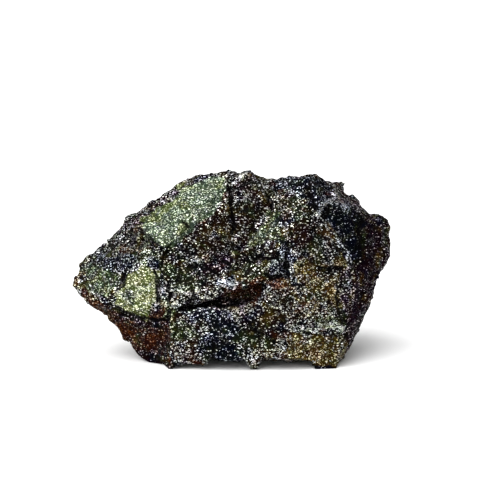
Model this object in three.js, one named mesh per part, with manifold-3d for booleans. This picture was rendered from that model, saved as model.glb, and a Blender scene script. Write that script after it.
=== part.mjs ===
// A hand specimen of massive stannite ore: one lump, broken from a vein, that rests on its underside.
// Millimetres, +Z up, +X to the right of the display side, which faces -Y.
// The origin is on the resting plane, under the middle of the lump.

import * as THREE from "three";
import { ConvexGeometry } from "three/addons/geometries/ConvexGeometry.js";
import { mergeVertices } from "three/addons/utils/BufferGeometryUtils.js";
import Module from "manifold-3d";

const wasm = await Module();
wasm.setup();

// Driving dimensions.
const specimenWidth = 80; // from the left tip to the right shoulder
const facetEdge = 3; // the longest facet edge after the surface is divided
const flatUnder = 1.2; // the underside stays flat below this height
const roughFrom = 5; // the break is fully rough above this height
const weldWithin = 1e-3; // corners closer than this are one corner
const core = new THREE.Vector3(0, 2, 22); // the roughness pushes out from here
const roughnessSeed = 100; // another number gives another break

// How far the rough break stands out of, or in from, the flat facets.
const roughness = [
  { size: 15, depth: 1.1 },
  { size: 7, depth: 0.7 },
  { size: 3.4, depth: 0.4 },
];

// The corners of the unchipped lump, with the display side in front (-Y).
const corners = {
  leftTip: [[-40, -3, 20], [-39.2, -1, 24.6], [-38.2, -6, 16.6], [-36.6, 2, 27.6], [-33, 6, 18]],
  leftCrest: [[-28.2, 3, 31.6], [-22.5, 4, 36.5], [-15, 4, 41.4], [-12, 3, 44.2]],
  peak: [[-2, 0, 48], [4.5, -3, 48.6]],
  rightCrest: [[17, 1, 45.6], [21, -1, 45.6], [25.6, 2, 43.4], [28, 4, 40.6]],
  shoulder: [[36.6, 3, 34.4], [39.2, 3, 32.8], [40, 4, 29.5], [39, 2, 25.5], [36, 1, 18.5]],
  rightFoot: [[32, -3, 9.5], [29.5, -6, 5], [25.5, -16, 0], [19, -17, 0], [28, 2, 0]],
  leftFoot: [[-14.5, -17, 0], [-20.5, -14, 0], [-24, -10, 2], [-27.6, -7, 6.2], [-20, 6, 0]],
  greenEdge: [[-18.5, -16, 30], [-6.3, -12, 38.7]],
  frontLedge: [[-24, -16, 14], [-15, -18.5, 17], [-3, -19.8, 18], [7, -19, 22]],
  rightFront: [[14, -16.5, 32], [21.5, -13, 38], [30, -11, 26], [27, -15.5, 11]],
  belly: [[-4, -19, 1.8], [14, -19, 2.2]],
  backCrest: [[-18, 15, 32], [0, 17, 38], [18, 16, 37]],
  backWall: [[-26, 16, 15], [-4, 27, 18], [20, 25, 20], [33, 14, 24]],
  backFoot: [[-14, 22, 0], [12, 24, 0], [26, 17, 5]],
};

// Each fracture took away what lies beyond all of its planes. Two planes leave a step or a valley,
// and more leave a hollow.
const fractures = {
  saddle: [
    { through: [10, 0, 43.7], facing: [0.4, -0.1, 1] },
    { through: [10, 0, 43.7], facing: [-0.2, 0.1, 1] },
  ],
  valley: [
    { through: [-18.5, -15.5, 29.5], facing: [0.26, -0.92, 0.3] },
    { through: [3.3, -8.9, 31], facing: [-0.5, -0.62, 0.654] },
    { through: [3.3, -9.5, 31], facing: [0.15, -0.72, 0.66] },
  ],
  shoulderNotch: [
    { through: [34, 0, 34.3], facing: [0.75, -0.2, 0.7] },
    { through: [34, 0, 34.3], facing: [-0.25, -0.3, 1] },
  ],
  undercut: [
    { through: [-24, -16, 14], facing: [-0.12, -0.1, -1] },
    { through: [-27.6, -7, 6.4], facing: [-0.52, -0.8, -0.28] },
    { through: [-15.5, -17, 8], facing: [-1, -0.25, 0] },
  ],
  leftStep: [
    { through: [-28, 3, 33], facing: [-0.76, -0.33, -0.56] },
    { through: [-28, 3, 31.2], facing: [-0.56, -0.38, 0.74] },
  ],
  ledgeHollow: [
    { through: [-7, -19, 17.4], facing: [0.35, -0.35, -1] },
    { through: [-7, -19.5, 16], facing: [-0.15, 0.1, 1] },
    { through: [8.5, -19, 20], facing: [-1, -0.5, 0.1] },
    { through: [0, -15, 18], facing: [0.1, -1, 0] },
  ],
  footLedge: [
    { through: [20, -15, 10.4], facing: [-0.05, -0.15, 1] },
    { through: [20, -16, 13], facing: [0.3, -1, 0.12] },
  ],
  leftArch: [
    { through: [-1, -3, 0], facing: [0, -0.176, -1] },
    { through: [-7.2, -17, 0], facing: [1, 0, -0.6] },
    { through: [4.6, -17, 0], facing: [-1, 0, -0.6] },
  ],
  rightArch: [
    { through: [13, -3, 0], facing: [0, -0.176, -1] },
    { through: [6, -17, 0], facing: [1, 0, -0.6] },
    { through: [20.4, -17, 0], facing: [-1, 0, -0.6] },
  ],
  backNotch: [
    { through: [6, 15, 35.5], facing: [0.6, 0.6, 0.55] },
    { through: [6, 15, 35.5], facing: [-0.35, 0.7, 0.6] },
  ],
  backStep: [
    { through: [2, 25, 12], facing: [0.15, 0.3, -1] },
    { through: [10, 22.5, 6], facing: [0.35, 1, -0.1] },
  ],
  backLeftNotch: [
    { through: [-25.5, 11, 24], facing: [-0.8, 0.5, 0.35] },
    { through: [-25.5, 11, 24], facing: [-0.1, 0.75, -0.65] },
  ],
  backRightStep: [
    { through: [24, 14, 34], facing: [-0.25, 0.35, 0.9] },
    { through: [24, 14, 34], facing: [0.85, 0.45, 0.25] },
  ],
};

// A corner list as one convex block.
function block(lists) {
  const points = lists.flat().map((p) => new THREE.Vector3(...p));
  return solidOf(new ConvexGeometry(points));
}

// A closed three.js geometry as a manifold-3d solid.
function solidOf(geometry) {
  const bare = geometry.index ? geometry.toNonIndexed() : geometry.clone();
  bare.deleteAttribute("normal");
  bare.deleteAttribute("uv");
  const merged = mergeVertices(bare, weldWithin);
  return new wasm.Manifold(
    new wasm.Mesh({
      numProp: 3,
      vertProperties: new Float32Array(merged.attributes.position.array),
      triVerts: new Uint32Array(merged.index.array),
    }),
  );
}

// Everything beyond a plane, out to well past the lump.
function beyond({ through, facing }) {
  const reach = 3 * specimenWidth;
  const box = new THREE.BoxGeometry(reach, reach, reach).translate(0, 0, reach / 2);
  const turn = new THREE.Quaternion().setFromUnitVectors(
    new THREE.Vector3(0, 0, 1),
    new THREE.Vector3(...facing).normalize(),
  );
  box.applyQuaternion(turn).translate(...through);
  return solidOf(box);
}

function chipped(lump, planes) {
  const chip = planes.map(beyond).reduce((a, b) => a.intersect(b));
  return lump.subtract(chip);
}

// The solid's surface with every edge over `longest` halved until none is left. Both facets beside
// an edge share its middle point, so the surface stays closed.
function divided(solid, longest) {
  const mesh = solid.getMesh();
  const vertices = [];
  for (let i = 0; i < mesh.numVert; i++)
    vertices.push(new THREE.Vector3().fromArray(mesh.vertProperties, i * mesh.numProp));
  const middles = new Map();
  const middleOf = (a, b) => {
    const key = a < b ? `${a} ${b}` : `${b} ${a}`;
    if (!middles.has(key)) {
      middles.set(key, vertices.length);
      vertices.push(vertices[a].clone().add(vertices[b]).multiplyScalar(0.5));
    }
    return middles.get(key);
  };
  const waiting = [];
  for (let t = 0; t < mesh.triVerts.length; t += 3)
    waiting.push([...mesh.triVerts.subarray(t, t + 3)]);
  const facets = [];
  while (waiting.length) {
    const [a, b, c] = waiting.pop();
    const sides = [[a, b, c], [b, c, a], [c, a, b]];
    const lengths = sides.map(([p, q]) => vertices[p].distanceTo(vertices[q]));
    const most = Math.max(...lengths);
    if (most <= longest) {
      facets.push(a, b, c);
      continue;
    }
    const [p, q, tip] = sides[lengths.indexOf(most)];
    const middle = middleOf(p, q);
    waiting.push([p, middle, tip], [middle, q, tip]);
  }
  return { vertices, facets };
}

// A repeatable number from 0 to 1 for each whole-numbered place: the fraction of a large sine.
const stride = [127.1, 311.7, 74.7];
const sineHeight = 43758.5453;

function chance(x, y, z) {
  const large = Math.sin(x * stride[0] + y * stride[1] + z * stride[2]) * sineHeight;
  return large - Math.floor(large);
}

const ease = (t) => t * t * (3 - 2 * t);

// Smooth noise from -1 to 1: chance values at the corners of a grid, blended in between.
function noise(point, size) {
  const [x, y, z] = point.toArray().map((value) => value / size + roughnessSeed);
  const [i, j, k] = [x, y, z].map(Math.floor);
  const [u, v, w] = [x - i, y - j, z - k].map(ease);
  const mix = THREE.MathUtils.lerp;
  const layer = (m) => mix(
    mix(chance(i, j, m), chance(i + 1, j, m), u),
    mix(chance(i, j + 1, m), chance(i + 1, j + 1, m), u),
    v,
  );
  return 2 * mix(layer(k), layer(k + 1), w) - 1;
}

// Breaks up the flat facets, more and more from the underside up.
function roughen(vertices) {
  for (const vertex of vertices) {
    const share = THREE.MathUtils.smoothstep(vertex.z, flatUnder, roughFrom);
    const depth = roughness.reduce((sum, layer) => sum + layer.depth * noise(vertex, layer.size), 0);
    const outward = vertex.clone().sub(core).normalize();
    vertex.addScaledVector(outward, share * depth);
  }
}

// Sets the lump on the resting plane, under its middle, at its full width.
function seated(geometry) {
  geometry.computeBoundingBox();
  const size = geometry.boundingBox.getSize(new THREE.Vector3());
  const centre = geometry.boundingBox.getCenter(new THREE.Vector3());
  const scale = specimenWidth / size.x;
  return geometry
    .translate(-centre.x, -centre.y, -geometry.boundingBox.min.z)
    .scale(scale, scale, scale);
}

function stannite() {
  const lump = Object.values(fractures).reduce(chipped, block(Object.values(corners)));
  const { vertices, facets } = divided(lump, facetEdge);
  roughen(vertices);
  const geometry = new THREE.BufferGeometry().setFromPoints(vertices).setIndex(facets);
  const ore = new THREE.MeshStandardMaterial({ color: 0x4b4a3c, roughness: 0.55, metalness: 0.45 });
  const mesh = new THREE.Mesh(seated(geometry), ore);
  mesh.name = "stannite_mass";
  return mesh;
}

const specimen = new THREE.Group();
specimen.add(stannite());

export default specimen;
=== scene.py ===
import itertools
import math

import bpy
import numpy as np
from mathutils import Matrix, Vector


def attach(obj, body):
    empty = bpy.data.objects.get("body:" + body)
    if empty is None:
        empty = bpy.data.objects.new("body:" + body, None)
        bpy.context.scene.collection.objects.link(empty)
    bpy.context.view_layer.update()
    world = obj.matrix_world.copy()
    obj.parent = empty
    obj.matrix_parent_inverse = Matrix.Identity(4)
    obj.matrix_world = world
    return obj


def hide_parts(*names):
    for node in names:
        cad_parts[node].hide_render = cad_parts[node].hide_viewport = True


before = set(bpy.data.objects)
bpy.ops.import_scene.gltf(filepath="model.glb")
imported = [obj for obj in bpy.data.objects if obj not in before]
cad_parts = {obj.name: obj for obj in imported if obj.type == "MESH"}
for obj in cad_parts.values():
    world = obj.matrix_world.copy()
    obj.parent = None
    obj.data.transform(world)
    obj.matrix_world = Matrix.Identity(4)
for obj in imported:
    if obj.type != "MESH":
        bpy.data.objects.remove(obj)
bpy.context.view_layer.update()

mm = 0.001

studio = {
    "sunPower": 2.2,
    "sunSpread": 60,  # degrees across
    "sunFrom": (-0.48, -0.68, 0.95),
    "skyBright": 1.9,  # towards the left, the front and above
    "skyDim": 0.25,  # behind
    "skyFrom": (-0.5, -0.5, 0.7),
    "gazeDown": 10,  # degrees
    "distance": 0.6,  # metres from the aim to the camera
    "seenWidth": 0.1212,  # metres that the camera sees across at the lump
    "aim": (0.0014, 0, 0.0288),
    "middle": (2.0, 33.1),  # the aim's place to the right and up the face, in mm
    "sensor": 36,  # mm across
    "seenAsFarAs": 20,  # metres
    "floorSize": 4.0,  # metres from its middle to a side
    "floorShade": 0.93,
    "floorRoughness": 0.9,
}

# large numbers that scatter whole numbers over 32 bits
mixing = {
    "axes": (374761393, 668265263, 2147483647),
    "seed": 974634777,
    "first": 2246822519,
    "second": 3266489917,
    "tiltSeed": 11,
    "liftSeed": 23,
}


def chance(cells, seed):
    # one number from 0 to 1 for each row of whole numbers: the row is mixed into a 32-bit number
    mixed = (cells.astype(np.int64) * mixing["axes"]).sum(-1) + seed * mixing["seed"]
    mixed = (mixed & 0xFFFFFFFF).astype(np.uint32)
    mixed = (mixed ^ (mixed >> 15)) * np.uint32(mixing["first"])
    mixed = (mixed ^ (mixed >> 13)) * np.uint32(mixing["second"])
    return (mixed ^ (mixed >> 16)) / 2.0**32


def chance3(cells, seed):
    # three such numbers for each row
    return np.stack([chance(cells, seed + axis) for axis in range(3)], -1)


def swirl(points, size, seed):
    # gradient noise: each lattice corner has a slope, and the eight slopes around a point are blended
    places = points / size
    home = np.floor(places).astype(np.int64)
    inside = places - home
    ease = inside**3 * (inside * (inside * 6 - 15) + 10)
    total = np.zeros(len(points))
    for corner in itertools.product((0, 1), repeat=3):
        slope = chance3(home + corner, seed) * 2 - 1
        weight = np.where(corner, ease, 1 - ease).prod(-1)
        total += weight * (slope * (inside - corner)).sum(-1)
    full = 1.6  # brings it to about -1 to 1
    return total * full


def layered(points, layers, turn=0):
    # the sum of noises, each with its size in mm, its strength and its seed
    return sum(strength * swirl(points, size, seed + turn) for size, strength, seed in layers)


def grains(points, size, seed, stretch):
    # scattered centres, one to a lattice cell: for each point, the way from its nearest centre, and
    # that centre's cell
    places = points / size / stretch
    home = np.floor(places).astype(np.int64)
    nearest = np.full(len(points), np.inf)
    way = np.zeros_like(points)
    cell = home.copy()
    margin = 0.1  # of a cell, which its centre keeps clear of
    for step in itertools.product((-1, 0, 1), repeat=3):
        centre = home + step + margin + (1 - 2 * margin) * chance3(home + step, seed)
        offset = places - centre
        distance = np.sqrt((offset**2).sum(-1))
        closer = distance < nearest
        nearest = np.where(closer, distance, nearest)
        way[closer] = offset[closer]
        cell[closer] = (home + step)[closer]
    return way * size * stretch, cell


def brokenGrains(points, size, slope, lift, seed, stretch=(1, 1, 1)):
    # each grain's face is a plane of its own: a tilt times the way from the centre, plus a step
    way, cell = grains(points, size, seed, stretch)
    tilt = (chance3(cell, seed + mixing["tiltSeed"]) * 2 - 1) * slope
    return (tilt * way).sum(-1) + (chance(cell, seed + mixing["liftSeed"]) * 2 - 1) * lift


def smoothStep(low, high, value):
    # 0 up to the low value, 1 from the high one on, and three squares less two cubes between them
    share = np.clip((value - low) / (high - low), 0, 1)
    return share * share * (3 - 2 * share)


def bell(offset, width):
    # e to the minus square of the offset in widths
    return np.exp(-((offset / width) ** 2))


def lengthOf(ways):
    return np.linalg.norm(ways, axis=-1, keepdims=True)


def weldedFacets(node):
    # the CAD mesh as shared corners and triangles, in mm
    mesh = node.data
    corners = np.empty(len(mesh.vertices) * 3)
    mesh.vertices.foreach_get("co", corners)
    corners = corners.reshape(-1, 3) / mm
    mesh.calc_loop_triangles()
    triangles = np.empty(len(mesh.loop_triangles) * 3, np.int64)
    mesh.loop_triangles.foreach_get("vertices", triangles)
    _, first, shared = np.unique(np.round(corners, 4), axis=0, return_index=True, return_inverse=True)
    triangles = shared.ravel()[triangles].reshape(-1, 3)
    whole = (triangles != np.roll(triangles, 1, axis=1)).all(1)
    return corners[first], triangles[whole]


def facingOf(points, faces):
    # each face's way out, as long as twice its area
    a, b, c = (points[faces[:, k]] for k in range(3))
    return np.cross(b - a, c - a)


def summed(owners, rows, count):
    # for each owner, the sum of its rows
    return np.stack([np.bincount(owners, column, count) for column in rows.T], -1)


def evenPlanes(corners, triangles, lean, rounds, heldBelow):
    # the planes of the break are evened out and its edges kept: each facet's direction becomes the mean
    # of those beside it that lean nearly its way, and then the corners settle onto their facets' planes
    sides = np.sort(triangles[:, [[0, 1], [1, 2], [2, 0]]].reshape(-1, 2), axis=1)
    order = np.lexsort(sides.T)
    left, right = order[0::2] // 3, order[1::2] // 3
    across = facingOf(corners, triangles)
    area = lengthOf(across)
    facing = across / np.maximum(area, 1e-9)
    for _ in range(rounds):
        alike = np.exp(-((facing[left] - facing[right]) ** 2).sum(-1, keepdims=True) / (2 * lean**2))
        toLeft, toRight = alike * area[right] * facing[right], alike * area[left] * facing[left]
        beside = summed(left, toLeft, len(area)) + summed(right, toRight, len(area))
        facing = facing * area + beside
        facing /= np.maximum(lengthOf(facing), 1e-9)
    uses = np.bincount(triangles.ravel(), minlength=len(corners))[:, None]
    held = corners[:, 2:] < heldBelow
    for _ in range(rounds):
        ways = corners[triangles].mean(1)[:, None] - corners[triangles]
        off = (ways * facing[:, None]).sum(-1, keepdims=True) * facing[:, None]
        move = summed(triangles.ravel(), off.reshape(-1, 3), len(corners)) / uses
        corners = corners + np.where(held, 0, move)
    return corners


def patches(corners, triangles, steps):
    # a facet is a patch of two parameters: a + u (b - a) + v (c - a), with u and v in equal steps.
    # a point's name is its corners and their weights, so neighbouring patches share their borders
    u, v = np.array([(i, j) for i in range(steps + 1) for j in range(steps + 1 - i)]).T
    weights = np.stack([steps - u - v, u, v], -1)
    points = np.einsum("pw,fwx->fpx", weights / steps, corners[triangles])
    owners = np.where(weights[None] > 0, triangles[:, None, :], -1)
    order = np.argsort(owners, axis=-1)
    names = np.concatenate([
        np.take_along_axis(owners, order, -1),
        np.take_along_axis(np.broadcast_to(weights[None], owners.shape), order, -1),
    ], -1).reshape(-1, 6)
    _, first, shared = np.unique(names, axis=0, return_index=True, return_inverse=True)
    shared = shared.reshape(len(triangles), -1)
    place = {(int(i), int(j)): n for n, (i, j) in enumerate(zip(u, v))}
    small = [(place[i, j], place[i + 1, j], place[i, j + 1])
             for i in range(steps) for j in range(steps - i)]
    small += [(place[i + 1, j], place[i + 1, j + 1], place[i, j + 1])
              for i in range(steps - 1) for j in range(steps - 1 - i)]
    return points.reshape(-1, 3)[first], shared[:, np.array(small)].reshape(-1, 3)


def neighbourMean(values, edges, count):
    # the mean over each point's neighbours
    a, b = edges.T
    rows = values.reshape(len(values), -1)
    total = summed(a, rows[b], len(rows)) + summed(b, rows[a], len(rows))
    return (total / count[:, None]).reshape(values.shape)


def blurred(values, edges, count, rounds):
    # each round goes halfway to the neighbours' mean
    for _ in range(rounds):
        values = 0.5 * values + 0.5 * neighbourMean(values, edges, count)
    return values


def pointNormals(points, faces):
    # the mean of the faces around each point, by area
    across = facingOf(points, faces)
    total = sum(summed(faces[:, k], across, len(points)) for k in range(3))
    return total / np.maximum(lengthOf(total), 1e-12)


# a line on the display side, corner by corner as mm to the right and mm up the face, and then its
# width and depth in mm
cracks = {
    "belowRiser": ([4.2, 28.3, 5.6, 28.8, 7, 28.6, 9, 28.9, 11.6, 29], 0.7, 1.3),
    "besideRiser": ([13.7, 29.2, 13.9, 27, 14.2, 24.2], 0.7, 1.2),
    "upRiser": ([14.2, 35, 14.1, 33, 14.6, 30.8], 0.7, 1.0),
    "underRiser": ([8.8, 24.2, 10, 23.6, 12.4, 23.9], 0.7, 0.6),
    "upperFace": ([0, 46.6, 0, 43, 0.3, 40, 0.8, 37, 0.3, 34.6], 0.65, 0.9),
    "upperLump": ([1, 46.2, 3.6, 46.6, 5.4, 47], 0.6, 0.4),
    "brownEdge": ([9.6, 44.2, 9.4, 41, 8.4, 38.6], 0.6, 0.5),
    "greenRim": ([-15.6, 31.8, -17.4, 30, -18, 27], 0.55, 0.6),
    "greenNotch": ([-12.4, 37.8, -11, 36.4], 0.5, 0.4),
    "greenStep": ([-23.4, 35.6, -21.2, 34, -19.4, 32.6], 0.7, 0.7),
    "leftOfLumps": ([-19.6, 25.2, -18.9, 22, -18.8, 17.8], 0.55, 0.7),
    "lumpGap": ([-16, 21.6, -15.8, 19, -16, 17.8], 0.6, 0.6),
    "foot": ([-5.2, 1.4, -4.8, 4.5, -4.9, 7.4], 0.6, 0.7),
    "rightFace": ([22, 26.4, 25, 26, 28, 26.1], 0.55, 0.7),
    "frontEdge": ([26.8, 22, 26.7, 19, 27.4, 15.4, 28, 12.6], 0.7, 0.5),
    "underLedge": ([-12.6, 16, -9, 16.5, -5, 17.2, -2, 16.7, 2, 17.2], 0.75, 1.0),
    "palerUnder": ([-31, 17, -29, 16, -27.2, 14.3, -23, 13.6, -17, 12.7], 0.5, 0.6),
    "paleSide": ([-15.9, 15.4, -16.2, 13.4], 0.8, 0.5),
    "besideKnob": ([33, 38.4, 32.2, 35, 32.6, 30], 0.8, 0.9),
    "ringHollow": ([24.8, 41.4, 24, 39], 1.0, 0.9),
    "navyDrop": ([19.8, 44.6, 20.8, 42.4, 21.4, 40.6], 0.9, 0.6),
    "betweenLumps": ([-10, 27, -7.4, 26.7, -5.4, 25.6, -3.4, 24.4], 0.6, 0.8),
    "underSparks": ([-9.8, 20.4, -9.6, 18.8, -11, 17.7], 0.7, 0.8),
    "midFace": ([-2.2, 28.2, -1, 27.4, -0.6, 26.2], 0.55, 0.6),
    "lowFace": ([5, 10.8, 6.6, 9.6, 6.9, 8.6], 0.7, 0.6),
    "palerEdge": ([-27.4, 23.6, -27.6, 21.4, -29, 20.9], 0.55, 0.6),
}
# the same, standing out, with brighter grains along them as a painted highlight
streaks = {
    "rightFaceEdge": ([25.2, 35.2, 27, 33, 28.6, 31, 30.1, 27], 0.5, 0.7),
    "notchStreak": ([25.2, 46, 25.6, 44.2, 26.6, 43.2, 28.2, 41.6, 29.2, 40.2], 0.65, 0.6),
    "ring": ([21.7, 39, 22.1, 41.2, 23.4, 42.6, 25, 43.1], 0.7, 0.6),
    "footLedge": ([15, 10.4, 18, 10.9, 21, 10.3, 23, 11, 25.8, 11.5, 28, 10.6], 0.8, 0.5),
    "riserTop": ([13.3, 29.5, 15.3, 30.4, 17, 29.6], 0.5, 0.4),
    "greyFaceEdge": ([3.5, 31.9, 5.2, 32.6, 6.2, 34, 7.6, 36, 9, 38.6], 0.55, 0.3),
    "upperSpark": ([1.6, 42.9, 3.8, 44], 0.7, 0.3),
    "topSpark": ([7.6, 46.8, 9, 46.3, 10.4, 46], 0.6, 0.2),
    "topGrey": ([-0.4, 48, 1.4, 48.3, 3.6, 49.2], 0.7, 0.1),
    "lumpSparks": ([-10.3, 28.4, -7.9, 27.8], 0.7, 0.3),
    "lumpSparks2": ([-13, 27.9, -11.5, 27.3], 0.5, 0.2),
    "greenLight": ([-3, 28.4, -1.8, 30.6], 0.6, 0.3),
    "ledgeSparks": ([-3.4, 22.9, -1.4, 22.7, -0.5, 21.9], 0.9, 0.4),
    "recessTop": ([-0.4, 21.8, 1.8, 22.2], 0.5, 0.3),
    "pinkSpark": ([-2.3, 25, -0.3, 25.3], 0.5, 0.2),
    "slantSpark": ([-5.4, 25.1, -3.6, 26.7], 0.45, 0.3),
    "brownSpark": ([-5.9, 32.8, -4.8, 33.7], 0.5, 0.2),
    "stepLight": ([8.4, 25.6, 9.8, 27.6, 11.8, 27.2], 0.55, 0.4),
    "blueLight": ([12.2, 20.9, 15.2, 21.3], 0.5, 0.3),
    "tealBlock": ([-17.9, 20.1, -17.1, 21.2], 0.8, 0.3),
    "ledgeLine": ([-18.6, 17, -15.2, 17.1, -13.2, 16.5], 0.5, 0.3),
    "ledgeCurve": ([-10, 17.4, -8, 17.9, -7, 19, -6.7, 20.4], 0.5, 0.4),
    "ledgeTop": ([-14.9, 19.2, -13, 20.2, -10.8, 19.8], 0.6, 0.3),
    "paleSparks": ([-29.2, 20.4, -28.4, 18.8, -26.7, 17.7], 0.7, 0.2),
    "yellowSparks": ([-24.2, 15.8, -22.4, 15.6, -21.4, 16.2], 0.6, 0.1),
    "leftSpark": ([-22.3, 28.9, -22.5, 27.1], 0.6, 0.2),
    "leftSpark2": ([-23.8, 30, -22.2, 29.9], 0.4, 0.2),
    "greenSide": ([-22.8, 36.2, -21.4, 34.2], 0.5, 0.2),
    "lowSparks": ([0.1, 15.2, 2, 16, 3.4, 16.5], 0.5, 0.3),
    "lowSparks2": ([0, 13.4, 1.6, 14.3, 4.6, 15.4], 0.5, 0.3),
    "shortLight": ([9, 11.6, 8.5, 9.8], 0.4, 0.2),
    "footBlue": ([12, 7.4, 13, 6.4, 12.2, 5.2, 14.8, 4.6], 0.6, 0.2),
    "footRidge": ([4.9, 4, 5.7, 2.2], 0.5, 0.3),
    "sideSpark": ([28.3, 16.5, 29.4, 15.6], 0.5, 0.2),
    "goldEdge": ([26.3, 21.8, 26.2, 18.8], 0.45, 0.2),
}
# the same, where the break drops to one side: the low side is on the right of one who walks the line,
# with its drop and how far from the line the break comes level again, in mm
drops = {
    "greenEdge": ([-19.4, 30.8, -15.5, 32.6, -9.2, 37.2, -5.4, 41, -4.6, 43.8, -1, 48], 0.9, 3.0),
    "darkFace": ([30.2, 27, 28.3, 31, 25.8, 34.2, 23, 38.6], 1.1, 5.0),
    "riserEdge": ([10.6, 44, 9.8, 39.8, 6.4, 35.4, 3.6, 31.6], 1.2, 3.0),
    "paleEdge": ([-19, 16, -18.7, 25.4], 0.8, 2.5),
    "belowPale": ([-19.4, 15, -22, 13.9, -25.2, 14.3, -29.4, 17.6], 0.7, 2.5),
}
lineShape = {
    "waver": 0.35,  # mm that a line wavers either way
    "waverSize": 2.4,  # mm
    "waverSeeds": (21, 24),
    "frontEnds": 0.3,  # how far the surface faces back where these lines end
    "dropStarts": -0.1,  # mm from its line
    "dropDeepest": 0.6,
    "markWidth": 1.6,  # how far its colour reaches, in widths of the line
}
# away from the display side cracks and streaks follow the zero lines of a slow noise
hidden = {
    "size": 12,  # mm from one bend to the next
    "gaps": 9,  # mm between the places where they stop
    "gapEdge": 0.25,
    "gapSeed": 5,
    "width": 0.05,  # the noise at the edge of a line
    "crack": {"depth": 0.9, "seed": 131},  # mm deep
    "streak": {"depth": -0.4, "seed": 141},
}


def asSeen(points):
    # places to the right and up the face, in mm, seen along the studio's gaze: the way from the aim,
    # larger the nearer it is, and counted from the middle under the lump
    lean = math.radians(studio["gazeDown"])
    away = points - np.array(studio["aim"]) / mm
    toRight = away[:, 0]
    up = away[:, 1] * math.sin(lean) + away[:, 2] * math.cos(lean)
    depth = away[:, 1] * math.cos(lean) - away[:, 2] * math.sin(lean)
    nearer = 1 / (1 + depth * mm / studio["distance"])
    return studio["middle"][0] + toRight * nearer, studio["middle"][1] + up * nearer


def cornersOf(row):
    # x, y after x, y
    return list(zip(row[::2], row[1::2]))


def toStretch(x, y, start, end):
    # distance to the nearest point of a straight stretch: square across from x, y, or at an end
    (x0, y0), (x1, y1) = start, end
    dx, dy = x1 - x0, y1 - y0
    along = np.clip(((x - x0) * dx + (y - y0) * dy) / (dx * dx + dy * dy), 0, 1)
    return np.hypot(x - x0 - along * dx, y - y0 - along * dy)


def offLine(x, y, line):
    # least distance to a line's stretches, below 0 to the left of it
    nearest = np.full(len(x), np.inf)
    side = np.ones(len(x))
    corners = cornersOf(line)
    for start, end in zip(corners, corners[1:]):
        distance = toStretch(x, y, start, end)
        (x0, y0), (x1, y1) = start, end
        turn = np.where((x - x0) * (y1 - y0) - (y - y0) * (x1 - x0) > 0, 1.0, -1.0)
        side = np.where(distance < nearest, turn, side)
        nearest = np.minimum(nearest, distance)
    return nearest * side


def nearestLine(x, up, lines):
    # each point's offset from the line nearest to it, in widths of that line
    side = np.full(len(x), 3.0)
    for line, width, _ in lines.values():
        off = offLine(x, up, line) / width
        side = np.where(np.abs(off) < np.abs(side), off, side)
    return side


def grooves(points, normals):
    # a crack is a hollow of bell-shaped section along its line, and a streak is the same, outwards. a
    # drop falls steeply just beside its line and comes level again slowly
    x, up = (place + lineShape["waver"] * swirl(points, lineShape["waverSize"], seed)
             for place, seed in zip(asSeen(points), lineShape["waverSeeds"]))
    front = smoothStep(lineShape["frontEnds"], 0.0, normals[:, 1])
    total = np.zeros(len(points))
    for line, width, depth in cracks.values():
        total += depth * bell(offLine(x, up, line), width)
    for line, width, depth in streaks.values():
        total -= depth * bell(offLine(x, up, line), width)
    deepest = lineShape["dropDeepest"]
    for line, depth, reach in drops.values():
        off = offLine(x, up, line)
        total += depth * smoothStep(lineShape["dropStarts"], deepest, off) * smoothStep(reach, deepest, off)
    total *= front
    marks = {}
    for name, lines in (("crack", cracks), ("streak", streaks)):
        side = nearestLine(x, up, lines)
        seed = hidden[name]["seed"]
        seam = swirl(points, hidden["size"], seed) / hidden["width"]
        gaps = swirl(points, hidden["gaps"], seed + hidden["gapSeed"])
        away = (1 - front) * smoothStep(0, hidden["gapEdge"], gaps)
        total += away * hidden[name]["depth"] * bell(seam, 1)
        reach = lineShape["markWidth"]
        marks[name + "Side"] = np.where(front > 0.5, side, seam)
        marks[name + "Near"] = np.maximum(front * bell(side, reach), away * bell(seam, reach))
    return total, marks


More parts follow.
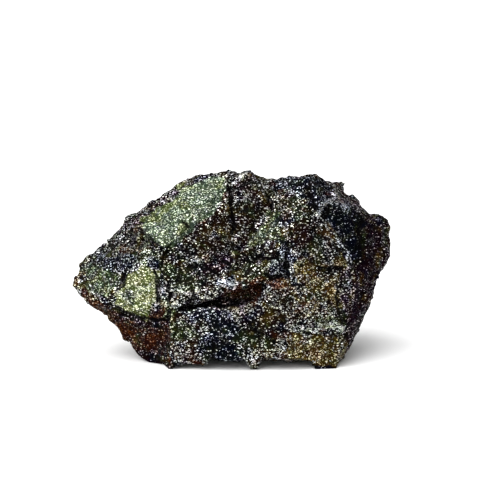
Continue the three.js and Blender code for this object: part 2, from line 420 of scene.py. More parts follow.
# how far the outline seen from the display side is moved, in mm: the top and under edges up, at places
# across, and the left and right edges to the right, at heights up the face
outline = {
    "edge": 0.5,  # mm in from the edge that move as far as it does
    "reach": 6,  # mm in from it where a move has faded out
    "freeHeights": (1, 4),  # mm up, from where no point is moved so to where all are
    "underDepths": (-6, -14),  # mm forward, the same for the under edge
    "top": [
        (-37.9, 0.9), (-36.6, 0.3), (-35.4, 0), (-33.4, -0.6), (-31.4, -1.1), (-29.4, -0.6), (-27.4, 0.4),
        (-25.4, 0), (-23.4, 0.2), (-21.4, 0.4), (-19.4, -0.7), (-16.4, -1), (-12.4, -0.2), (-9.4, 0.4),
        (-6.4, 0), (-3.4, -0.7), (-1.4, -0.5), (0.6, -0.9), (2.6, 0.4), (4.6, 1.3), (6.6, 0.2), (8.6, -0.6),
        (11.1, -0.6), (13.6, 0.1), (16.6, -0.2), (18.6, 0.5), (20.6, 0.5), (22.6, -0.9), (24.6, -0.5),
        (26.6, 0.6), (28.6, 0.3), (30.6, 0.6), (32.6, -0.6), (34.6, -0.8), (36.6, 0.3),
    ],
    "left": [
        (5.1, 0), (8.1, 0.2), (11.1, 0.8), (14.1, 1.2), (17.1, -0.9), (19.1, 0.1), (21.1, -0.5),
        (22.6, 0.4), (23.8, 0.7), (24.9, 0.3), (26.1, -0.7), (27.1, -1.1), (28.1, -0.8), (29.1, -0.5),
        (30.1, -0.4), (31.3, 0), (33.1, 0.8), (35.1, -0.3), (37.1, 0.4), (39.1, 0.3), (41.1, 0.3),
        (43.1, -0.3),
    ],
    "under": [(-15.4, 0), (-13.6, 1.2), (-8, 1.3), (-6, 0)],
    "right": [
        (9.1, 0.2), (13.1, 0), (15.1, 0.4), (19.1, -0.2), (21.1, -0.6), (25.1, 0), (27.1, 0.5), (29.1, 0.5),
        (33.1, -0.4), (36.1, 0.3), (39.1, 0.4), (43.1, 0.2), (45.1, -0.3), (48.1, 0.8),
    ],
}


def fitted(points):
    # an edge is the furthest point in each mm, and a point moves by the edge's own table, less the
    # further in it is
    x, up = asSeen(points)

    def edgeMove(along, across, table):
        slot = np.floor(along).astype(int) - int(np.floor(along.min()))
        furthest = np.full(slot.max() + 1, -np.inf)
        np.maximum.at(furthest, slot, across)
        nearEdge = smoothStep(outline["reach"], outline["edge"], furthest[slot] - across)
        return nearEdge * np.interp(along, *np.transpose(table))

    lift = edgeMove(x, up, outline["top"])
    shift = edgeMove(up, -x, outline["left"]) + edgeMove(up, x, outline["right"])
    free = smoothStep(*outline["freeHeights"], points[:, 2])
    under = np.interp(x, *np.transpose(outline["under"]))
    under = under * smoothStep(*outline["underDepths"], points[:, 1]) * (1 - free)
    return points + np.stack([shift * free, 0 * shift, lift * free + under], -1)


lump = {
    "sameLean": 0.35,  # how nearly alike two facets lean to be evened into one plane
    "evenRounds": 20,
    "heldBelow": 0.05,  # mm above the resting plane, where corners stay in place
    "patchSteps": 4,  # each CAD facet becomes this many steps a side
    "softening": 4,  # rounds of smoothing before the break is roughened
    "flatUnder": 0.15,  # mm above the resting plane that stays flat
    "roughFrom": 1.6,  # mm above which the break is fully rough
    "edgeRounds": 14,  # rounds that show how far an edge stands out
    "edgeChips": 0.9,  # share of a sharp edge that may be knocked off
    "chipSize": 3.2,  # mm
    "chipSeed": 5,
    "chipNoise": (-0.35, 0.5),  # from where nothing is knocked off to where all of it is
    "swells": [(8.5, 0.4, 41), (3.6, 0.2, 43)],  # size and height in mm, and seed
    "bendSize": 4.0,  # mm between the bends in the blocks' borders
    "bendSeeds": (31, 34, 37),
    "blocks": {"size": 5.2, "slope": 0.15, "lift": 0.15, "seed": 51},
    "facingRounds": 2,  # rounds for the way that grains stand out
    "coarseGrains": {"size": 2.1, "slope": 0.15, "lift": 0.05, "seed": 61, "stretch": (1.25, 1.0, 0.85)},
    "coarseBend": 0.3,  # the share of the blocks' bends that the coarse grains have
    "fineGrains": {"size": 0.95, "slope": 0.18, "lift": 0.03, "seed": 71},
    "hollowRounds": 12,  # rounds that show how deep a hollow is
}


def roughBreak():
    # each point stands out along its normal by the sum of the break's blocks, lines and grains
    corners, triangles = weldedFacets(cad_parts["stannite_mass"])
    corners = evenPlanes(corners, triangles, lump["sameLean"], lump["evenRounds"], lump["heldBelow"])
    points, faces = patches(corners, triangles, lump["patchSteps"])
    edges = np.concatenate([faces[:, [0, 1]], faces[:, [1, 2]], faces[:, [2, 0]]])
    edges = np.unique(np.sort(edges, axis=1), axis=0)
    count = np.bincount(edges.ravel(), minlength=len(points)).astype(float)
    print("facets divided:", len(points), "points", len(faces), "faces")
    rise = smoothStep(lump["flatUnder"], lump["roughFrom"], points[:, 2])[:, None]
    points = points + rise * (blurred(points, edges, count, lump["softening"]) - points)

    # sharp edges lose chips: how far a point stands out of its smoothed surroundings, times noise
    normals = pointNormals(points, faces)
    standsOut = ((points - blurred(points, edges, count, lump["edgeRounds"])) * normals).sum(-1)
    knocked = smoothStep(*lump["chipNoise"], swirl(points, lump["chipSize"], lump["chipSeed"]))
    height = -lump["edgeChips"] * (np.maximum(standsOut, 0) * knocked)

    # swells, blocks and lines
    bend = np.stack([swirl(points, lump["bendSize"], seed) for seed in lump["bendSeeds"]], -1)
    height += layered(points, lump["swells"])
    height += brokenGrains(points + bend, **lump["blocks"])
    depth, marks = grooves(points, normals)
    height -= depth
    points = points + rise * normals * height[:, None]
    print("blocks, cracks and streaks made")

    normals = blurred(pointNormals(points, faces), edges, count, lump["facingRounds"])
    height = brokenGrains(points + lump["coarseBend"] * bend, **lump["coarseGrains"])
    height += brokenGrains(points, **lump["fineGrains"])
    points = fitted(points + rise * normals * height[:, None])
    points[:, 2] = np.maximum(points[:, 2], 0)
    print("grains made")

    normals = pointNormals(points, faces)
    hollow = ((blurred(points, edges, count, lump["hollowRounds"]) - points) * normals).sum(-1)
    return points, faces, normals, {"hollow": hollow, **marks}, edges, count


def meshFrom(name, points, faces):
    # places in mm and triangles become a piece at the origin
    mesh = bpy.data.meshes.new(name)
    mesh.vertices.add(len(points))
    mesh.vertices.foreach_set("co", (points * mm).astype(np.float32).ravel())
    mesh.loops.add(faces.size)
    mesh.loops.foreach_set("vertex_index", faces.astype(np.int32).ravel())
    mesh.polygons.add(len(faces))
    mesh.polygons.foreach_set("loop_start", np.arange(0, faces.size, 3, dtype=np.int32))
    mesh.update(calc_edges=True)
    mesh.validate()
    piece = bpy.data.objects.new(name, mesh)
    bpy.context.scene.collection.objects.link(piece)
    return piece


def store(piece, name, values):
    # one number at each point, for the material to read by name
    attribute = piece.data.attributes.new(name, "FLOAT", "POINT")
    attribute.data.foreach_set("value", np.ascontiguousarray(values, np.float32))


# the patches of each stain, outlined on the display side in the same way as a line
stains = {
    "rust": [
        [-16.4, 30.4, -12, 31, -8, 34.4, -5, 38, -6.6, 39, -10.8, 35.8],
        [-5, 41.4, -1, 41.2, -0.8, 39.4, -5, 39.6],
        [-7.4, 36.4, 0, 36, -0.6, 32.2, -3.2, 31.2, -2.8, 34, -7, 34.4],
        [-37, 19, -30.5, 16.4, -26, 12.8, -21, 12.2, -20.8, 14.6, -17.2, 16.6, -16.6, 13.6, -15.2, 12,
         -15.2, -2, -24, -2, -36, 13],
        [-3.4, 18, 2, 17.8, 7.6, 19.6, 8, 24.4, 4, 23.6, 1.6, 21.4, -2.6, 20],
        [8, 22.6, 13.6, 23.8, 15, 22, 9, 21.6],
    ],
    "umber": [
        [15.8, 37.6, 19.4, 37.4, 21, 33, 20, 30.6, 17, 31.4],
        [-16, 31.5, -8.6, 37.4, -4.8, 41.2, -4, 43, -1, 46.4, 2, 47.4, 9.5, 45.6, 8.4, 38, 4, 33, -2, 32,
         -6, 33, -14, 30],
        [-16.6, 26.6, -13.4, 27, -13, 30, -16, 31], [-8, 29.6, -2, 30, 1, 33, -6, 34],
        [10.4, 44.6, 19, 44.6, 19, 41.4, 11, 41], [7.6, 29.6, 13, 29.4, 13.4, 31.4, 8, 31.2],
        [-14.6, 9, -7.4, 9, -6.4, 2.4, -8.6, 4.2, -14.4, 4],
        [6, 11.5, 7, 16.4, 13, 17.6, 15.4, 13.6, 22, 14.8, 22, 13, 15, 12.2, 11, 10],
        [9, 19.4, 14.6, 19.6, 14.4, 13, 7, 15],
    ],
    "plum": [
        [30, 26.4, 33, 27.5, 36, 33, 38.6, 36, 41, 30, 36, 14, 29, 4, 28.4, 12, 27, 14, 27.6, 24],
        [32.6, 33, 33.4, 39, 37, 40, 40.4, 37, 38.4, 32, 34, 28],
        [26.5, 44, 30, 45.5, 34, 41, 32, 38, 30, 41], [-5, 15.6, 3, 16, 5, 17.6, -3, 18.4, -9, 16.6],
        [-28, 14.6, -20, 13.4, -15.6, 12.8, -15.8, 11.6, -22, 11.8, -29, 13],
        [1.2, 46.4, 5.6, 47.4, 6, 45.2, 2, 44.6],
        [-28.5, 36.4, -18, 43.6, -11.5, 47.6, -11.8, 45.6, -19, 40.8, -24, 36.4],
        [-8, 23, -2, 26, -1, 28.6, -3, 28.4, -9, 24.4], [-5, 2, -1.6, 2, -4, 8, -6.4, 8],
        # painted contact shadow: this patch, under the left foot, tints the shadow where the lump meets the
        # floor
        [-24, 5, -20, 5, -16, 2.6, -15, -2, -25, -2],
    ],
    "gold": [
        [14.5, -1, 28.5, -1, 28.4, 6, 24, 9.2, 14.6, 9.2],
        [19.4, 23.6, 26.2, 23, 26.8, 15.8, 23.4, 17, 20, 18.2],
        [15, 28.8, 20, 28.8, 20.4, 22.6, 15.4, 22.8], [22, 36.6, 24.6, 36.6, 26, 33.6, 24.4, 32.6],
        [24, 28, 28.4, 28.4, 28.4, 26.6, 24, 26.6], [-0.4, 25.4, 1.4, 25.2, 1.2, 23.6, -0.2, 23.6],
        [-39.8, 21, -36.4, 21, -36, 24, -38, 27.6, -40, 26],
    ],
    "blue": [
        [-8.6, 8.4, -6, 1.4, 3.4, 1, 2.4, 8, 0, 13, -1.6, 15.8, -6.4, 15.4],
        [-14, 15.6, -9, 16.8, -5, 15.2, -11, 13],
        [9.6, 46.2, 12, 48.4, 20, 49.6, 23.4, 47.4, 24, 44, 22.6, 41, 20.6, 40.8, 19.6, 44.4, 11, 46],
        [22.8, 38.6, 25, 35.5, 28.5, 31, 30.2, 27.2, 31.5, 29, 32.5, 38, 30, 42, 24, 41.6],
        [-34, 25.6, -33, 28.6, -27, 29.4, -24, 28, -24.6, 25.8, -29, 24.8],
        [-22.6, 28.8, -19.4, 28.6, -19, 26.6, -22, 26.4], [9.4, 26.8, 14.8, 29, 15, 23.6, 10, 24],
        [12, 33, 14, 31.6, 14.2, 29.4, 12, 30], [-4.2, 21.2, 0, 21.2, -0.2, 23.4, -3.8, 23.8],
        # painted contact shadow: the last patch here, under the right foot, is near-black blue ore where
        # the lump meets the floor
        [-19, 19, -16.4, 19, -16.4, 22, -19, 22], [18.6, 1.4, 26.8, 1, 27.4, -3, 18, -3],
    ],
    "moss": [
        [-24, 30, -20, 31.2, -19.4, 29.4, -23, 28.8], [15, 41, 18, 41.4, 20, 40, 19, 38.4, 16, 38.6],
        [-16.4, 27.2, -11.4, 26, -12, 23.8, -16.6, 25], [-12.6, 23.6, -8, 22.4, -8.8, 20.6, -12.4, 21.4],
        [4, 27.6, 8.6, 27.6, 8.4, 24.2, 4.4, 24], [1.2, 7.4, 3.4, 9.6, 6.8, 9, 8.8, 6, 5, 5.4],
        [-15, 12.6, -9, 11.8, -8.8, 8.8, -15, 9], [-17.6, 13.6, -15.6, 13.8, -15.8, 15.8, -17.4, 15.8],
        [17.8, 19.8, 22.8, 20.2, 23, 18, 18.6, 17.8], [21, 33.6, 23.4, 33.4, 23, 28, 21.4, 28],
        [19.6, 10.2, 28, 10.2, 28, 12.8, 21, 12.4],
    ],
    "green": [
        [-21.8, 34.2, -17.8, 30.2, -15.4, 31, -11.2, 34.3, -7.8, 37.2, -4.3, 41, -2.6, 43.6, -1.3, 46,
         -2, 49, -6.4, 48.8, -10.6, 47.2, -14, 44.8, -17, 42.4, -20, 39.8, -22.8, 37.4],
    ],
    "olive": [
        [-22.8, 38.2, -19, 40.4, -15.8, 43.2, -10.6, 43.2, -11, 41.6, -15.4, 40.6, -18.4, 37.4,
         -22.6, 36.2],
        [-14, 47, -11, 48, -9.8, 46.6, -13, 45.4], [-4.4, 45.2, -2, 46, -2, 48, -4, 47.6],
        [-13.4, 36.6, -11.6, 36.8, -11.8, 35, -13.4, 34.8],
    ],
    "pale": [
        [-28.4, 23, -26.8, 25.2, -24.6, 26.4, -21.2, 26.4, -20, 25.2, -18.4, 24.8, -18.4, 17, -20, 16.2,
         -21, 13.6, -25.8, 13.8, -29.4, 16.6, -30.4, 19.8, -29, 21],
    ],
    "sage": [
        [-38, 27.4, -36, 28.4, -33.4, 26.6, -28.6, 24.6, -27.8, 20.6, -31, 18.6, -35, 19.4, -36.8, 22,
         -37.4, 25],
        [-24.4, 22, -22.8, 19.4, -24.6, 17.6, -26.6, 19],
        [3.4, 31.4, 7.6, 31.8, 12, 34.4, 12.4, 40.4, 9.4, 40, 7, 36.4],
    ],
    "ember": [
        [-20.6, 14.2, -17.6, 15.8, -17.5, 13.9, -19.4, 13.4],
        [-27.8, 11.6, -25, 10, -25.6, 8.8, -28.4, 10.6],
    ],
}
# how much brighter or duller the grains are in a patch: partly their own tone, partly painted light
grainToneAndPaintedLight = {
    # painted highlights: clusters of grains that glint
    "sparks": (0.6, [
        [-13, 27.4, -7.6, 27, -7.4, 28.9, -9.2, 29.2, -13, 28.8],
        [21.4, 38.8, 21.6, 41.4, 23.2, 43, 25.4, 43.6, 25.2, 42.6, 23.6, 41.8, 22.6, 40.6, 22.4, 38.8],
        [25, 46, 25.4, 43.8, 26.4, 42.6, 28.4, 40.2, 29.4, 39.9, 28.8, 41.8, 27, 43.6, 26.2, 44.6,
         25.9, 46],
        [-3.7, 21.6, -0.2, 21.6, -0.6, 23.2, -3.4, 23.4], [17, 10, 24, 9.7, 28.4, 10, 28.2, 12.7, 21, 12.4],
    ]),
    # partly paler grains, partly painted highlights where clusters of grains glint
    "bright": (0.35, [
        [-19, 18.6, -16.4, 18.6, -16.4, 22, -19, 22],
        [-19, 16.4, -13, 16.4, -11.5, 18.4, -6.6, 18, -6.6, 20.8, -9, 20.2, -10.4, 19.8, -15, 20.4,
         -15.4, 17.8, -19, 17.5],
        [-4.4, 20.6, 1.2, 21, 1.6, 22.8, -4.6, 23],
        [8.2, 25.4, 10.4, 26.6, 12.2, 27, 10.6, 28.2, 8.6, 27.4],
        [1.6, 42.4, 4.2, 42.8, 4.4, 44.2, 2.2, 43.8], [-3, 48, -0.6, 48.2, -0.8, 49.8, -3, 49.6],
        [7.4, 46, 10.6, 45.8, 10.4, 47.8, 7.6, 48], [-0.4, 13.2, 0.2, 15, 3.4, 16.6, 5.4, 14.8, 1.4, 12.6],
        [-11.6, 14.6, -9, 10.6, -5, 9.2, -5.6, 11, -9.4, 13.4, -10.6, 15],
        [15.4, 16.6, 18, 19, 21.6, 17, 21, 14.6, 15, 14.4], [12, 20.2, 15, 20.7, 15.2, 22, 12, 21.6],
        [13, 10, 22, 9.8, 22, 11.8, 13, 11.6], [3, 2, 6.6, 2, 6.4, 5, 3.5, 6.6],
        [9, 3.4, 12, 3.4, 13, 8.6, 11.6, 8.8], [-14, 2, -8, 1.8, -9, 4.2, -13.4, 4.2],
        [24.6, 30.6, 26.6, 34, 25, 33.8, 23.4, 31], [14.6, 30, 17, 29.4, 16.4, 31.2, 14.6, 31.2],
        [16.4, 39.4, 19.4, 38.2, 19.6, 40.4, 17, 40.6],
    ]),
    # partly darker ore, partly painted shade in the undercut at the lower left, the recess under the ledge
    # and the rim turned from the key light
    "dim": (-0.5, [
        [-38, 20, -24.5, 13.8, -16, 16, -15.4, -2, -24, -2, -36, 14],
        [11, 45, 20, 45, 22, 38, 20.6, 31, 14.4, 31, 14, 37],
        [-18.6, 32, -8, 34, 4, 31.4, 14, 31, 12, 27.6, 4, 27, -6, 21, -10, 22, -17, 21],
        [-6, 14, -1, 14, 1, 8, 2, 2, -5, 2], [2, 12, 8, 17, 14, 14, 13, 9, 3, 9],
        [-6, 1, 3, 1.2, 2, 8, -0.5, 12.6, -6, 12.6, -7, 8], [2.4, 9, 8, 14, 12, 9, 10, 4, 6.6, 5, 3, 7],
        [36, 24, 41, 26, 41.4, 37, 38, 40.6, 36, 38],
        [2, 38, 3, 41.6, 8.6, 43, 12.6, 41, 13.6, 32, 11, 31, 10.6, 38, 8, 40, 3, 33],
        [11.6, 46.6, 20, 48.8, 22.6, 46.5, 22, 41.5, 19, 44.4],
        [-4.6, 17.6, 3, 16.6, 7.6, 19, 8, 24.4, 4, 23.6, 1.6, 21.6, -3, 19.9],
    ]),
    # partly darker ore, partly painted shade on the right side turned from the key light
    "dull": (-0.25, [
        [2, 12, 8, 15, 14, 14, 12, 7, 3, 5], [3, 23.4, 14.6, 23.6, 15, 29, 3, 27],
        [-6, 14, -1, 14, 1, 8, 2, 2, -5, 2], [15, 32, 25, 32, 22, 38, 15, 37],
        [-15, 15, -7, 15, -7, 3, -15, 3], [-10, 34, 2, 34, 3, 43, -4, 43], [30, 20, 40, 20, 40, 40, 30, 40],
        [-37, 27, -33, 30, -25, 36, -21, 34, -19, 29, -19.6, 26, -26, 25, -29, 22, -30, 20, -37, 20],
        [12, 47, 20, 50, 24, 47, 20, 45], [-28, 12, -16.4, 12, -15.4, 0, -22, 0],
        [-34, 19, -27, 14, -25, 8, -31, 10], [17, 24, 28, 24, 29, 30, 24, 34, 17, 34],
    ]),
    # painted shade on the right side turned from the key light and in the ring's hollow, and painted
    # contact shadows under both feet
    "dark": (-1.0, [
        [28.5, 3, 28.4, 12, 27.4, 15.4, 33, 18, 32, 6],
        [25, 38, 27, 34.4, 30.6, 27.4, 31.5, 10, 34, 14, 38, 24, 36, 28, 36, 36, 31, 41],
        [-24.4, 5, -19.6, 3.2, -14.6, 2.6, -14.6, -2, -25, -2], [19, 1.9, 26.6, 1.3, 27.4, -2, 18, -2],
        [23.4, 38, 26, 37.4, 26.4, 40.4, 25.4, 41.8, 23.6, 41.6],
    ]),
}
staining = {
    "border": 1.4,  # half the width of a stain's border, in mm
    "crisp": {"green": 0.7, "pale": 1},  # the same, for the stains that have a narrower one
    "toneBorder": 0.35,
    "waver": [(5, 1.2, 81), (2.2, 0.9, 83)],  # size in mm, strength in borders, and seed
    "facingRounds": 6,  # rounds of smoothing of the way it faces
    "frontEnds": 0.35,  # how far it faces back where the outlined patches end
    "blotches": [(13, 1, 90), (4.5, 0.35, 97)],  # the same, for the stains away from there
    "least": 0.12,  # the least of that noise that shows, and "scarce" is for the rarer ones
    "scarce": {"green": 0.3, "olive": 0.34, "pale": 0.5, "sage": 0.34, "ember": 0.72},
    "blotchEdge": 0.3,
    "backTones": [(9, 1, 111), (3, 0.5, 113)],
    "backTone": 0.8,
    "toneRange": (-1.5, 2),
}


def insidePatch(x, y, patch):
    # signed distance to a closed outline, above 0 inside it: the least distance to its sides, with
    # the sign from how many sides a line to the right crosses
    corners = cornersOf(patch)
    nearest = np.full(len(x), np.inf)
    odd = np.zeros(len(x), bool)
    for start, end in zip(corners, corners[1:] + corners[:1]):
        nearest = np.minimum(nearest, toStretch(x, y, start, end))
        (x0, y0), (x1, y1) = start, end
        dx, dy = x1 - x0, y1 - y0
        odd ^= ((y0 > y) != (y1 > y)) & (x < x0 + (y - y0) * dx / (dy if dy else 1e-9))
    return np.where(odd, nearest, -nearest)


def stainShares(points, normals, edges, count):
    # each patch's share on the display side, with a wavering border, and noise patches elsewhere
    x, up = asSeen(points)
    facing = blurred(normals, edges, count, staining["facingRounds"])[:, 1]
    front = smoothStep(staining["frontEnds"], 0.0, facing)
    waver = layered(points, staining["waver"])

    def inPatches(outlines, border):
        inside = np.max([insidePatch(x, up, patch) for patch in outlines], axis=0)
        return smoothStep(-border, border, inside + waver * border)

    shares = {}
    for number, (name, outlines) in enumerate(stains.items()):
        blotches = layered(points, staining["blotches"], number)
        least = staining["scarce"].get(name, staining["least"])
        elsewhere = smoothStep(least, least + staining["blotchEdge"], blotches)
        patched = inPatches(outlines, staining["crisp"].get(name, staining["border"]))
        shares[name] = front * patched + (1 - front) * elsewhere
    tone = (1 - front) * staining["backTone"] * layered(points, staining["backTones"])
    # the outlined patches add painted highlight and painted shade to the grains' own tone
    for strength, outlines in grainToneAndPaintedLight.values():
        tone += front * strength * inPatches(outlines, staining["toneBorder"])
    shares["tone"] = np.clip(tone, *staining["toneRange"])
    return shares


def linear(red, green, blue):
    # a colour given as 0 to 255 on the screen, as the shader's own numbers
    return tuple(c / 12.92 if c <= 0.04045 else ((c + 0.055) / 1.055) ** 2.4
                 for c in (red / 255, green / 255, blue / 255)) + (1.0,)


oreLook = {
    "drawnOut": (0.76, 1.0, 1.4),  # grains are longer than high
    "fineGrain": 0.37,  # mm across
    "borderGrain": 0.6,  # mm between the dark borders
    "borderWidth": 0.3,  # of that
    "borderDark": 0.5,  # how much duller a border is
    "innerLight": 0.26,  # and how much brighter the middle of what it borders
    "coarseGrain": 0.9,  # mm
    "stirNoise": (0.9, 2.0, 0.5),  # a noise has its scale to a mm, detail and roughness
    "stirring": 0.6,  # mm that it bends them
    "middleFrom": 0.55,  # the tone where the middle colour takes over from the ground
    "lightFrom": 0.82,
    "toneBlend": 0.03,
    "toneShift": 0.24,  # how far a patch's tone moves its grains'
    "hollowPaintedShade": 0.2,  # painted shade: how much duller they are for each mm down a hollow
    "clusterNoise": (0.6, 2.0, 0.6),
    "clusters": 0.1,  # how unevenly the bright grains are spread
    "crustClusters": 0.28,  # and how much more so on the green crust
    "streakPaintedHighlight": 0.23,  # painted highlight: how much brighter the grains are along a streak
    "crackPaintedShade": 0.9,  # and how much of the painted shade in a crack shows
    "lineRagged": 2.4,  # how much the clusters fray a line
    "lineEdge": (0.45, 1.0),  # of its width
    "lineEnd": (0.25, 0.5),  # of its mark
    "wanderNoise": (0.45, 3.0, 0.6),
    "yellowing": 1.75,  # how strongly the colour wanders between yellow and blue
    "reddening": 0.95,  # and between red and green
    "blueing": -1.2,  # the yellowing's share in the blue
    "leastTint": 0.25,  # the least that a colour is dimmed to
    "lightTarnish": 0.2,  # the share of the wandering on the brightest grains
    "crustTarnish": 0.4,  # and on the green, olive and pale crusts
    "blotchNoise": (0.26, 3.0, 0.5),
    "blotchStep": 17.0,  # mm from one stain's noise to the next
    "stainPull": 0.4,  # how strongly a patch fills with its stain
    "fuller": 0.5,  # and how much more so for each 1 of least blotch over 0.6
    "stainEdge": (-0.08, 0.14),
    "stainFray": 0.05,  # how far coarse grains fray that edge
    "glintGrain": 0.3,  # mm
    "glints": 0.03,  # share of the surface in bright faces
    "glintTone": 0.06,  # how much more there are for each 1 of tone
    "glintEdge": 0.01,
    "glintTilt": 1.4,
    "glintRoughness": 0.18,
    "grainTilt": 0.3,  # how far a fine grain's face leans
    "coarseTilt": 0.06,
    "crustDull": 0.85,  # how much of the metal a crust covers
    "metalShare": 0.9,
    "metalGrains": (0.6, 0.8, 0.0, 0.7),  # the draw where a grain turns metal, and how much
    "grainRoughness": (0.22, 0.6),
    "crustRoughness": 0.6,
}

# for each stain: its ground, its grains and its brightest grains, and the least blotch it fills
# away from its patches
oreColours = {
    "ore": (linear(4, 4, 4), linear(54, 52, 49), linear(232, 234, 230), 0),
    "rust": (linear(26, 8, 4), linear(82, 48, 32), linear(160, 129, 109), 0.6),
    "umber": (linear(14, 7, 5), linear(58, 49, 42), linear(230, 228, 220), 0.6),
    "plum": (linear(10, 3, 7), linear(50, 35, 40), linear(214, 202, 208), 0.62),
    "gold": (linear(36, 26, 6), linear(90, 79, 40), linear(218, 210, 176), 0.6),
    "blue": (linear(4, 5, 10), linear(35, 38, 47), linear(214, 220, 230), 0.6),
    "moss": (linear(16, 18, 9), linear(68, 74, 55), linear(222, 228, 212), 0.62),
    "green": (linear(44, 53, 40), linear(116, 131, 107), linear(222, 233, 211), 0.75),
    "olive": (linear(44, 50, 27), linear(112, 122, 84), linear(208, 216, 176), 0.72),
    "pale": (linear(58, 64, 34), linear(155, 161, 121), linear(236, 240, 210), 0.82),
    "sage": (linear(26, 30, 20), linear(86, 94, 74), linear(184, 192, 172), 0.72),
    "ember": (linear(30, 12, 6), linear(84, 46, 30), linear(180, 142, 114), 0.74),
}
glintColour = linear(236, 240, 242)
# painted shade that fills the cracks
crackShadeColour = linear(6, 5, 6)


class Wiring:
    # short words for making and joining nodes
    def __init__(self, tree):
        self.tree = tree

    def node(self, kind, inputs=None, **settings):
        made = self.tree.nodes.new("ShaderNode" + kind)
        for key, value in settings.items():
            setattr(made, key, value)
        for key, value in (inputs or {}).items():
            socket = made.inputs[key]
            if isinstance(value, bpy.types.NodeSocket):
                self.tree.links.new(value, socket)
            else:
                socket.default_value = value
        return made

    def math(self, operation, a, b=0.0):
        return self.node("Math", {0: a, 1: b}, operation=operation).outputs[0]

    def add(self, a, b):
        return self.math("ADD", a, b)

    def minus(self, a, b):
        return self.math("SUBTRACT", a, b)

    def times(self, a, b):
        return self.math("MULTIPLY", a, b)

    def most(self, a, b):
        return self.math("MAXIMUM", a, b)

    def vector(self, operation, a, b=None, scale=None):
        inputs = {0: a if isinstance(a, bpy.types.NodeSocket) else a[:3]}
        if b is not None:
            inputs[1] = b
        if scale is not None:
            inputs["Scale"] = scale
        return self.node("VectorMath", inputs, operation=operation).outputs[0]

    def mix(self, share, a, b):
        return self.node("Mix", {0: share, 6: a, 7: b}, data_type="RGBA").outputs[2]

    def spread(self, value, low, high, toLow=0.0, toHigh=1.0):
        ends = {"Value": value, "From Min": low, "From Max": high, "To Min": toLow, "To Max": toHigh}
        return self.node("MapRange", ends, interpolation_type="SMOOTHSTEP").outputs[0]

    def noise(self, place, kind, output="Fac"):
        scale, detail, roughness = kind
        inputs = {"Vector": place, "Scale": scale, "Detail": detail, "Roughness": roughness}
        return self.node("TexNoise", inputs).outputs[output]

    def cells(self, place, size):
        # a colour of its own for each cell of this size in mm
        return self.node("TexVoronoi", {"Vector": place, "Scale": 1 / size}).outputs["Color"]

    def aroundMiddle(self, colour, amount):
        # a noise colour as a way in any direction
        return self.vector("SCALE", self.vector("SUBTRACT", colour, (0.5, 0.5, 0.5)), scale=amount)


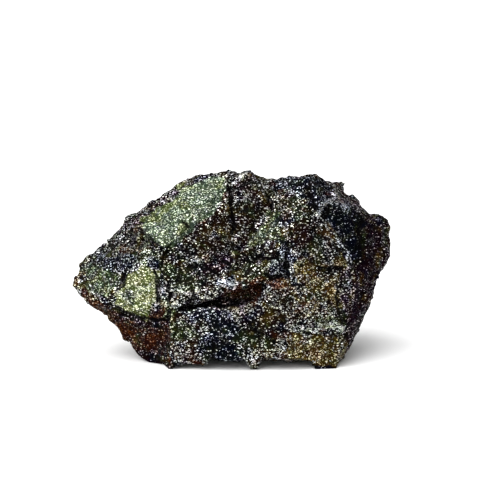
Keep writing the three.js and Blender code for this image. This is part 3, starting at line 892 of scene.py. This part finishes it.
def makeOre():
    material = bpy.data.materials.new("stannite ore")
    material.use_nodes = True
    tree = material.node_tree
    tree.nodes.clear()
    w = Wiring(tree)
    look = oreLook

    def read(name):
        return w.node("Attribute", attribute_name=name, attribute_type="GEOMETRY").outputs["Fac"]

    # grains: cells in a stirred and drawn-out space
    inMm = w.vector("SCALE", w.node("TexCoord").outputs["Object"], scale=1 / mm)
    stir = w.noise(inMm, look["stirNoise"], "Color")
    stirred = w.vector("ADD", inMm, w.aroundMiddle(stir, look["stirring"]))
    drawn = w.vector("MULTIPLY", stirred, look["drawnOut"])
    fine = w.cells(drawn, look["fineGrain"])
    coarse = w.cells(drawn, look["coarseGrain"])
    fineParts = w.node("SeparateColor", {"Color": fine}).outputs
    coarseParts = w.node("SeparateColor", {"Color": coarse}).outputs
    clusters = w.minus(w.noise(drawn, look["clusterNoise"]), 0.5)

    def lineShare(name):
        # 1 along the line, with a ragged edge
        off = w.math("ABSOLUTE", read(name + "Side"))
        off = w.add(off, w.times(clusters, look["lineRagged"]))
        near = w.spread(read(name + "Near"), *look["lineEnd"])
        return w.times(w.spread(off, *look["lineEdge"], 1, 0), near)

    # each grain picks a dark, middle or light tone
    # the tone holds painted highlight and painted shade as well as the grains' own tone
    tone = read("tone")
    pick = w.add(fineParts[0], w.times(tone, look["toneShift"]))
    # painted highlight along the streaks
    pick = w.add(pick, w.times(lineShare("streak"), look["streakPaintedHighlight"]))
    uneven = w.add(w.times(read("green"), look["crustClusters"]), look["clusters"])
    pick = w.add(pick, w.times(clusters, uneven))
    # painted shade down the hollows
    pick = w.minus(pick, w.times(read("hollow"), look["hollowPaintedShade"]))
    border = w.node("TexVoronoi", {"Vector": drawn, "Scale": 1 / look["borderGrain"]},
                    feature="DISTANCE_TO_EDGE").outputs["Distance"]
    border = w.spread(border, 0.0, look["borderWidth"], -look["borderDark"], look["innerLight"])
    pick = w.add(pick, border)
    toMiddle, toLight = (w.spread(pick, look[name] - look["toneBlend"], look[name] + look["toneBlend"])
                         for name in ("middleFrom", "lightFrom"))

    # the tarnish of the ore wanders
    wander = w.noise(inMm, look["wanderNoise"], "Color")
    wander = w.node("SeparateXYZ", {0: w.vector("SUBTRACT", wander, (0.5, 0.5, 0.5))}).outputs
    yellow = w.times(wander[0], look["yellowing"])
    red = w.times(wander[1], look["reddening"])
    tarnish = w.node("CombineXYZ", {0: w.add(yellow, red), 1: w.minus(yellow, red),
                                    2: w.times(yellow, look["blueing"])}).outputs[0]

    def tarnished(colour, share):
        change = w.vector("ADD", w.vector("SCALE", tarnish, scale=share), (1, 1, 1))
        return w.vector("MULTIPLY", colour, w.vector("MAXIMUM", change, (look["leastTint"],) * 3))

    # the stains lie over the plain ore, one after another
    colour = None
    crust = None
    for number, (name, (dark, middle, light, least)) in enumerate(oreColours.items()):
        share = look["crustTarnish"] if name in ("green", "olive", "pale") else 1.0
        toned = w.mix(toLight, tarnished(w.mix(toMiddle, dark, middle), share),
                      tarnished(light, share * look["lightTarnish"]))
        if colour is None:
            colour = toned
            continue
        place = w.vector("ADD", inMm, (look["blotchStep"] * number, 0, 0))
        pull = look["stainPull"] + look["fuller"] * max(least - 0.6, 0)
        ragged = w.add(w.noise(place, look["blotchNoise"]), w.times(read(name), pull))
        ragged = w.add(ragged, w.times(w.minus(coarseParts[1], 0.5), look["stainFray"]))
        ragged = w.spread(ragged, *(least + edge for edge in look["stainEdge"]))
        colour = w.mix(ragged, colour, toned)
        if name in ("green", "pale"):
            crust = ragged if crust is None else w.most(crust, ragged)

    # small bright faces of metal, and the painted shade in the cracks
    glintCells = w.cells(stirred, look["glintGrain"])
    glintDraw = w.node("SeparateColor", {"Color": glintCells}).outputs[1]
    # the painted highlight and shade in the tone also raise and lower the share of glints
    glints = w.add(glintDraw, w.times(tone, look["glintTone"]))
    leastGlint = 1 - look["glints"]
    glints = w.spread(glints, leastGlint - look["glintEdge"], leastGlint + look["glintEdge"])
    colour = w.mix(glints, colour, glintColour)
    colour = w.mix(w.times(lineShare("crack"), look["crackPaintedShade"]), colour, crackShadeColour)

    # each grain's face leans its own way
    normal = w.node("NewGeometry").outputs["Normal"]
    normal = w.vector("ADD", normal, w.aroundMiddle(fine, look["grainTilt"]))
    normal = w.vector("ADD", normal, w.aroundMiddle(coarse, look["coarseTilt"]))
    glintLean = w.aroundMiddle(glintCells, w.times(glints, look["glintTilt"]))
    normal = w.vector("NORMALIZE", w.vector("ADD", normal, glintLean))

    # light grains and some others are metal, and the crusts are not
    bare = w.minus(1.0, w.times(crust, look["crustDull"]))
    shiny = w.times(w.most(toLight, w.spread(fineParts[1], *look["metalGrains"])), bare)
    metallic = w.most(w.times(shiny, look["metalShare"]), glints)
    rough = w.spread(fineParts[2], 0.0, 1.0, *look["grainRoughness"])
    rough = w.most(rough, w.times(crust, look["crustRoughness"]))
    rough = w.minus(rough, w.times(glints, w.minus(rough, look["glintRoughness"])))
    shader = w.node("BsdfPrincipled", {"Base Color": colour, "Metallic": metallic, "Roughness": rough,
                                       "Normal": normal, "Specular IOR Level": 0.0})
    tree.links.new(shader.outputs[0], w.node("OutputMaterial").inputs[0])
    return material


def makeFloor():
    # a plain pale floor, square, with its middle under the lump
    material = bpy.data.materials.new("pale floor")
    material.use_nodes = True
    shader = material.node_tree.nodes["Principled BSDF"]
    shader.inputs["Base Color"].default_value = (studio["floorShade"],) * 3 + (1,)
    shader.inputs["Roughness"].default_value = studio["floorRoughness"]
    shader.inputs["Specular IOR Level"].default_value = 0.0
    far = studio["floorSize"]
    mesh = bpy.data.meshes.new("floor")
    mesh.from_pydata([(-far, -far, 0), (far, -far, 0), (far, far, 0), (-far, far, 0)], [], [(0, 1, 2, 3)])
    mesh.materials.append(material)
    made = bpy.data.objects.new("floor", mesh)
    bpy.context.scene.collection.objects.link(made)
    return made


points, faces, normals, marks, edges, count = roughBreak()
mass = meshFrom("stannite_lump", points, faces)
for name, values in {**marks, **stainShares(points, normals, edges, count)}.items():
    store(mass, name, values)
print("stains laid out")
mass.data.materials.append(makeOre())
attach(mass, "root")
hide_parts("stannite_mass")
print("lump made")

floor = makeFloor()

world = bpy.data.worlds.new("studio")
bpy.context.scene.world = world
world.use_nodes = True
sky = Wiring(world.node_tree)
towards = sky.node("VectorMath", {0: sky.node("TexCoord").outputs["Generated"],
                                  1: Vector(studio["skyFrom"]).normalized()}, operation="DOT_PRODUCT")
brightness = sky.spread(towards.outputs["Value"], 0.0, 1.0, studio["skyDim"], studio["skyBright"])
background = world.node_tree.nodes["Background"]
background.inputs["Color"].default_value = (1, 1, 1, 1)
world.node_tree.links.new(brightness, background.inputs["Strength"])

sunData = bpy.data.lights.new("key", "SUN")
sunData.energy = studio["sunPower"]
sunData.angle = math.radians(studio["sunSpread"])
sun = bpy.data.objects.new("key", sunData)
sun.rotation_euler = Vector(studio["sunFrom"]).to_track_quat("Z", "Y").to_euler()
bpy.context.scene.collection.objects.link(sun)

cameraData = bpy.data.cameras.new("camera")
camera = bpy.data.objects.new("camera", cameraData)
down = math.radians(studio["gazeDown"])
aim = Vector(studio["aim"])
camera.location = aim + studio["distance"] * Vector((0, -math.cos(down), math.sin(down)))
camera.rotation_euler = (aim - camera.location).to_track_quat("-Z", "Y").to_euler()
cameraData.sensor_width = studio["sensor"]
cameraData.lens = studio["sensor"] * studio["distance"] / studio["seenWidth"]
cameraData.clip_end = studio["seenAsFarAs"]
bpy.context.scene.collection.objects.link(camera)
bpy.context.scene.camera = camera
bpy.context.scene.view_settings.view_transform = "Standard"
print("floor, light and camera set")
